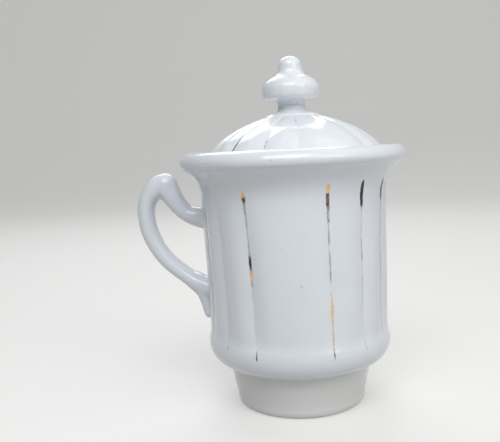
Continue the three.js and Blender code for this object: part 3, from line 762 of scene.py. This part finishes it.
def from_wall(p):
    """Distance of points from the lobed wall, below 0 inside it."""
    x = p[:, 0] - by_key(p[:, 2], LEAN)
    angle = np.degrees(np.arctan2(x, -p[:, 1]))
    wall = wall_radius(p[:, 2]) - valley_dip(angle) * by_key(p[:, 2], VALLEY_DEPTH)
    return np.hypot(x, p[:, 1]) - wall


def blended(a, b, width):
    """The nearer of two surfaces, with a fillet of this width where they meet."""
    h = np.maximum(width - np.abs(a - b), 0) / width
    return np.minimum(a, b) - h * h * width / 4


def handle_field(p):
    """Distance of points from the handle. Its roots flow into the wall's skin and end a little inside it."""
    arm, bow, tail = (from_limb(p, *parts) for parts in LIMBS)
    limbs = blended(blended(arm, bow, KNUCKLE_FILLET), tail, TAIL_FILLET)
    wall = from_wall(p)
    skin = blended(limbs, wall, ROOT_FILLET)
    return np.maximum(np.maximum(skin, -wall - ROOT_SINK), limbs - ROOT_FILLET * 0.93)


def trimmed(a, axis, start):
    """The array from start, 0 or 1, with one layer less along the axis."""
    part = [slice(None)] * 3
    part[axis] = slice(start, a.shape[axis] - 1 + start)
    return a[tuple(part)]


def surface_net(field, low, shape, step):
    """The surface where a field over space is 0, as four-cornered faces."""
    axes = [low[k] + step * np.arange(shape[k]) for k in range(3)]
    grid = np.stack(np.meshgrid(*axes, indexing="ij"), -1)
    values = field(grid.reshape(-1, 3)).reshape(shape)
    total = np.zeros([n - 1 for n in shape] + [3])
    count = np.zeros([n - 1 for n in shape])
    crossings = []
    for k in range(3):
        v0, v1 = trimmed(values, k, 0), trimmed(values, k, 1)
        cross = (v0 < 0) != (v1 < 0)
        share = np.where(cross, v0 / np.where(cross, v0 - v1, 1), 0)
        spot = trimmed(grid, k, 0) + share[..., None] * step * np.eye(3)[k]
        crossings.append((cross, v0 < 0))
        u, w = [j for j in range(3) if j != k]
        for a in (0, 1):
            for b in (0, 1):
                here = trimmed(trimmed(cross, u, a), w, b)
                total += np.where(here[..., None], trimmed(trimmed(spot, u, a), w, b), 0)
                count += here
    used = count > 0
    index = np.full(used.shape, -1)
    index[used] = np.arange(used.sum())
    verts = total[used] / count[used][:, None]
    faces = []
    for k, (cross, inner) in enumerate(crossings):
        u, w = [(1, 2), (2, 0), (0, 1)][k]
        inside = [slice(None)] * 3
        inside[u] = inside[w] = slice(1, -1)
        at = np.argwhere(cross[tuple(inside)])
        at[:, u] += 1
        at[:, w] += 1
        eu, ew = np.eye(3, dtype=int)[u], np.eye(3, dtype=int)[w]
        ring = np.stack([index[tuple((at - s).T)] for s in (eu + ew, ew, 0 * eu, eu)], -1)
        way = inner[tuple(at.T)]
        faces.append(np.where(way[:, None], ring, ring[:, ::-1]))
    return verts, np.vstack(faces)


def settle(field, verts, times=4, reach=0.02, limit=0.3):
    """Moves points onto the surface where the field is 0."""
    for _ in range(times):
        here = field(verts)
        slope = np.stack([(field(verts + d) - field(verts - d)) for d in np.eye(3) * reach], -1) / (2 * reach)
        step = slope * (here / np.maximum((slope ** 2).sum(1), 0.05))[:, None]
        verts = verts - np.clip(step, -limit, limit)
    return verts


def handle():
    """The loop handle with its knuckle and tail, filleted onto the wall."""
    cells = tuple(int(n) for n in GRID_SIZE // GRID_STEP + 1)
    verts, faces = surface_net(handle_field, GRID_LOW, cells, GRID_STEP)
    verts = settle(handle_field, verts)
    make("handle_porcelain", verts, faces, "vessel", ("handle",), plain_glaze, sharp=50)


# Strainer floor and spreader

def hole_rings(first, last, pitch):
    """Middles of holes on rings round the axis, six more on each next ring."""
    made = []
    for ring in range(first, last + 1):
        made += circle(0, 0, ring * pitch, max(1, 6 * ring))
    return made


def strainer():
    """The perforated floor of the collar."""
    verts, faces = pierced(STRAINER_R, STRAINER_LOW, STRAINER_TOP, hole_rings(0, 4, STRAINER_PITCH),
                           STRAINER_HOLE_R)
    make("strainer_porcelain", verts, faces, "vessel", ("strainer_floor",), inner_glaze)


def spreader():
    """The loose perforated plate with a raised rim."""
    plate, plate_faces = pierced(SPREADER_PLATE_R, SPREADER_LOW, SPREADER_TOP,
                                 hole_rings(2, 4, SPREADER_PITCH), SPREADER_HOLE_R)
    ring = rounded([
        (SPREADER_PLATE_R, SPREADER_LOW), (SPREADER_R - 1.5, SPREADER_LOW, 0.5),
        (SPREADER_R, SPREADER_LOW + 1.5, 0.5), (SPREADER_R, SPREADER_RIM, 0.6),
        (SPREADER_R - 2.4, SPREADER_RIM, 0.6), (SPREADER_R - 3.65, SPREADER_TOP, 0.3),
        (SPREADER_PLATE_R, SPREADER_TOP)])
    band, strips = lathe(ring, np.arange(0, 360, 2.5) + 90, closed=False)
    verts = np.vstack([plate, band])
    faces = plate_faces + [tuple(i + len(plate) for i in f) for f in strips]
    make("spreader_porcelain", verts, faces, "spreader", ("water_spreader",), inner_glaze)


def lift_knob():
    """The small round knob on the spreader."""
    height = LIFT_KNOB_TOP - SPREADER_TOP
    ball = LIFT_KNOB_TOP - LIFT_BALL_R
    knob = [(0, SPREADER_TOP), (LIFT_FOOT_R - 0.4, SPREADER_TOP), (LIFT_FOOT_R, SPREADER_TOP + 0.3)]
    knob += quad(knob[-1], (LIFT_NECK_R, SPREADER_TOP + height * 0.1),
                 (LIFT_NECK_R, SPREADER_TOP + height * 0.3), 8)
    knob += quad(knob[-1], (LIFT_BALL_R, ball - LIFT_BALL_R / 2), (LIFT_BALL_R, ball), 10)
    knob += cubic(knob[-1], (LIFT_BALL_R, ball + 5.2), (4.4, LIFT_KNOB_TOP), (0, LIFT_KNOB_TOP), 12)
    verts, faces = closed_at_axis(knob, np.arange(0, 360, 7.5))
    make("lift_knob_porcelain", verts, faces, "spreader", ("spreader_knob",), inner_glaze)


# Lid

def dome(inset, steps):
    """The dome's outline from its foot to the boss's edge, moved in square to itself."""
    a, d = np.array([DOME_FOOT_R, DOME_FOOT]), np.array([BOSS_R, BOSS_EDGE])
    b, c = bend_points(a, d, DOME_CURVE)
    t = np.linspace(0, 1, steps + 1)[:, None]
    at = (1 - t) ** 3 * a + 3 * t * (1 - t) ** 2 * b + 3 * t * t * (1 - t) * c + t ** 3 * d
    way = 3 * (1 - t) ** 2 * (b - a) + 6 * t * (1 - t) * (c - b) + 3 * t * t * (d - c)
    way /= np.linalg.norm(way, axis=1, keepdims=True)
    return [tuple(p) for p in at + inset * np.column_stack([-way[:, 1], way[:, 0]])]


def lid():
    """The lobed dome with its brim, its locating ring, and the boss and neck that the knob stands on."""
    outer = rounded([
        (FLANGE_INSIDE_R, FLANGE_LOW, 0.6), (FLANGE_R, FLANGE_LOW, 0.9), (FLANGE_R, LID_BOTTOM, 0.4),
        (BRIM_R, LID_BOTTOM, 0.5), (BRIM_R, DOME_FOOT - 0.7, 0.6), (DOME_FOOT_R, DOME_FOOT)])[:-1]
    outer += dome(0, 44)
    outer += quad(outer[-1], (BOSS_R - 1.5, BOSS_TOP), (BOSS_R - 4.5, BOSS_TOP), 8)
    outer += quad(outer[-1], (NECK_R, BOSS_TOP + (NECK - BOSS_TOP) * 0.2), (NECK_R, NECK), 12)
    hollow = [p for p in dome(LID_WALL, 20) if p[0] < FLANGE_INSIDE_R - 0.4]
    under = hollow[::-1] + [(FLANGE_INSIDE_R, LID_BOTTOM - 0.5), outer[0]]
    r, z = np.array(outer).T
    # the valleys start softly from the brim and fade out at the boss
    on_dome = (z > DOME_FOOT + 0.01) & (z < BOSS_EDGE)
    depth = np.where(on_dome, LID_VALLEY * np.clip((r - BOSS_R) / LID_VALLEY_RUN, 0, 1), 0)
    depth *= smooth(z, DOME_FOOT, DOME_FOOT + LID_VALLEY_START_H)
    drift = np.interp(z, [SHIFT_START, NECK], [LID_SHIFT, KNOB_SHIFT])
    swing = (ANGLES + by_key(from_front(ANGLES), LID_SWING))[:, None]
    top, top_faces = lathe(outer, ANGLES, depth, LID_TURN, drift, closed=False, swing=swing)
    low, low_faces = lathe(under, ANGLES, None, LID_TURN, LID_SHIFT, closed=False, swing=swing)
    rows, low_rows = len(outer), len(under)
    at_neck = len(top) + len(low)
    verts = np.vstack([top, low, [KNOB_SHIFT, 0, NECK], [LID_SHIFT, 0, under[0][1]]])
    faces = [tuple(f) for f in top_faces] + [tuple(i + len(top) for i in f) for f in low_faces]
    for i in range(len(ANGLES)):
        j = (i + 1) % len(ANGLES)
        faces.append((at_neck, i * rows + rows - 1, j * rows + rows - 1))
        faces.append((at_neck + 1, len(top) + j * low_rows, len(top) + i * low_rows))
    lines = line_attributes(r, np.where(z > DOME_FOOT, r, UNPAINTED_R), LID_LINES, rows)
    lines = {name: np.pad(values, (0, len(verts) - len(values))) for name, values in lines.items()}
    make("lid_porcelain", verts, faces, "cover", ("lid",), lid_glaze, attributes=lines)


def lid_knob():
    """The turned knob: a cone, a ball with a flat underside, and a finial above a crease."""
    cone_h = BALL_UNDER - NECK - 0.3
    ball_h = CREASE - BALL_UNDER
    finial_h = KNOB_TOP - CREASE
    knob = [(0, NECK + 0.02), (NECK_R - 0.25, NECK + 0.02), (NECK_R - 0.05, NECK + 0.2), (NECK_R, NECK + 0.5)]
    knob += quad(knob[-1], (NECK_R, BALL_UNDER - cone_h * 0.3), (CONE_R, BALL_UNDER - 0.3), 10)
    knob += line(knob[-1], (BALL_R * 0.86, BALL_UNDER), 2)
    knob += quad(knob[-1], (BALL_R, BALL_UNDER), (BALL_R, BALL_WIDEST), 8)
    knob += cubic(knob[-1], (BALL_R, BALL_WIDEST + ball_h * 0.25),
                  (CREASE_R + (BALL_R - CREASE_R) * 0.61, CREASE - ball_h * 0.14), (CREASE_R, CREASE), 18)
    knob += quad(knob[-1], (FINIAL_R, CREASE + finial_h * 0.15), (FINIAL_R, CREASE + finial_h * 0.45), 8)
    knob += cubic(knob[-1], (FINIAL_R, KNOB_TOP - finial_h * 0.16), (FINIAL_R * 0.45, KNOB_TOP),
                  (0, KNOB_TOP), 12)
    verts, faces = closed_at_axis(knob, np.arange(0, 360, 4.0), shift=KNOB_SHIFT)
    make("knob_porcelain", verts, faces, "cover", ("lid_knob",), knob_glaze, sharp=50)


# Floor, light and camera. Their places and sizes are in metres and their angles in degrees.

FLOOR_COLOUR = (0.54, 0.535, 0.52)
FLOOR_GLOW = 0.35
FLOOR_ROUGH = 0.6
FLOOR_REACH = 4.0
SWEEP_START = 1.2
SWEEP_R = 0.9
BACKDROP_TOP = 3.2
SKY_COLOUR = (0.97, 0.985, 1.0)
SKY = 0.19
SKY_SEEN = 0.5
AIM = (0.014, 0, 0.1)

# Place, size, power in watts and colour
LAMPS = {
    "front_top": ((0.0, -0.75, 1.0), (0.8, 0.6), 7.6, (0.96, 0.98, 1)),
    "high_right": ((0.6, 0.0, 1.1), (0.7, 0.7), 1.6, (1, 0.99, 0.98)),
    "key": ((0.85, -0.75, 0.75), (0.7, 0.7), 4.4, (1, 0.99, 0.97)),
    "back_top": ((-0.2, 0.8, 0.9), (0.8, 0.6), 4.6, (0.96, 0.98, 1)),
}

# The camera stands this far from the vessel's axis, turned round it from the front
CAMERA_FAR = 0.366
CAMERA_HEIGHT = 0.1416
CAMERA_TURN = 4.3
CAMERA_PITCH = 6.21
CAMERA_YAW = -8.23
CAMERA_ROLL = 2.65
FOCAL_PIXELS = 657
PHOTO_WIDTH_PIXELS = 500
SENSOR_MM = 36


def backdrop_rays(tree, rest, seen):
    """A value that differs for what the camera, the glaze's reflections and clear things see."""
    ray = tree.nodes.new("ShaderNodeLightPath")
    share = ray.outputs["Is Camera Ray"]
    for kind in ("Is Glossy Ray", "Is Transmission Ray"):
        either = tree.nodes.new("ShaderNodeMath")
        either.operation = "MAXIMUM"
        tree.links.new(share, either.inputs[0])
        tree.links.new(ray.outputs[kind], either.inputs[1])
        share = either.outputs[0]
    between = tree.nodes.new("ShaderNodeMapRange")
    tree.links.new(share, between.inputs["Value"])
    between.inputs["To Min"].default_value = rest
    between.inputs["To Max"].default_value = seen
    return between.outputs[0]


def floor():
    """A pale floor that sweeps up into the backdrop."""
    bend = np.linspace(0, math.pi / 2, 17)
    sweep = [(-FLOOR_REACH, 0.0)]
    sweep += [(SWEEP_START + SWEEP_R * math.sin(a), SWEEP_R - SWEEP_R * math.cos(a)) for a in bend]
    sweep += [(SWEEP_START + SWEEP_R, BACKDROP_TOP)]
    verts = [(x, y, z) for y, z in sweep for x in (-FLOOR_REACH, FLOOR_REACH)]
    faces = [(2 * i, 2 * i + 1, 2 * i + 3, 2 * i + 2) for i in range(len(sweep) - 1)]
    mesh = bpy.data.meshes.new("pale_floor")
    mesh.from_pydata(verts, [], faces)
    mesh.polygons.foreach_set("use_smooth", [True] * len(mesh.polygons))
    thing = bpy.data.objects.new("pale_floor", mesh)
    bpy.context.scene.collection.objects.link(thing)
    finish = Finish("pale_floor", FLOOR_ROUGH)
    darker = (*(c * 0.985 for c in FLOOR_COLOUR), 1)
    colour = finish.mix(finish.noise(3, 2), (*FLOOR_COLOUR, 1), darker)
    finish.put(colour, finish.shader.inputs["Base Color"])
    # it looks pale to the camera and in the glaze, and throws little light up at the object
    finish.put(backdrop_rays(finish.tree, 0, FLOOR_GLOW), finish.shader.inputs["Emission Strength"])
    finish.put((1, 1, 0.99, 1), finish.shader.inputs["Emission Color"])
    mesh.materials.append(finish.material)


def sky():
    """Even light from all round."""
    world = bpy.data.worlds.new("studio")
    bpy.context.scene.world = world
    world.use_nodes = True
    background = world.node_tree.nodes["Background"]
    background.inputs["Color"].default_value = (*SKY_COLOUR, 1)
    strength = backdrop_rays(world.node_tree, SKY, SKY_SEEN)
    world.node_tree.links.new(strength, background.inputs["Strength"])


def lamp(name, place, size, power, colour):
    """A soft rectangular lamp that is aimed at the object."""
    data = bpy.data.lights.new(name, "AREA")
    data.shape = "RECTANGLE"
    data.size, data.size_y = size
    data.energy = power
    data.color = colour
    thing = bpy.data.objects.new(name, data)
    thing.location = place
    thing.rotation_mode = "QUATERNION"
    thing.rotation_quaternion = (Vector(AIM) - Vector(place)).to_track_quat("-Z", "Y")
    bpy.context.scene.collection.objects.link(thing)


def camera():
    """The photograph's view."""
    turn, pitch, yaw, roll = map(math.radians, (CAMERA_TURN, CAMERA_PITCH, CAMERA_YAW, CAMERA_ROLL))
    eye = bpy.data.objects.new("camera", bpy.data.cameras.new("camera"))
    bpy.context.scene.collection.objects.link(eye)
    bpy.context.scene.camera = eye
    eye.data.sensor_width = SENSOR_MM
    eye.data.lens = FOCAL_PIXELS / PHOTO_WIDTH_PIXELS * SENSOR_MM
    eye.data.clip_start = 0.01
    ahead = math.cos(pitch)
    forward = Vector((math.sin(yaw) * ahead, math.cos(yaw) * ahead, -math.sin(pitch)))
    level = Vector((math.cos(yaw), -math.sin(yaw), 0))
    above = level.cross(forward)
    right = level * math.cos(roll) - above * math.sin(roll)
    up = level * math.sin(roll) + above * math.cos(roll)
    away = Vector((math.sin(turn), -math.cos(turn), 0)) * CAMERA_FAR
    place = Vector((AXIS_X * MM, 0, CAMERA_HEIGHT)) + away
    eye.matrix_world = Matrix.Translation(place) @ Matrix((right, up, -forward)).transposed().to_4x4()


vessel()
handle()
strainer()
spreader()
lift_knob()
lid()
lid_knob()
floor()
sky()
for lamp_name, settings in LAMPS.items():
    lamp(lamp_name, *settings)
camera()

bpy.context.scene.view_settings.view_transform = "Standard"
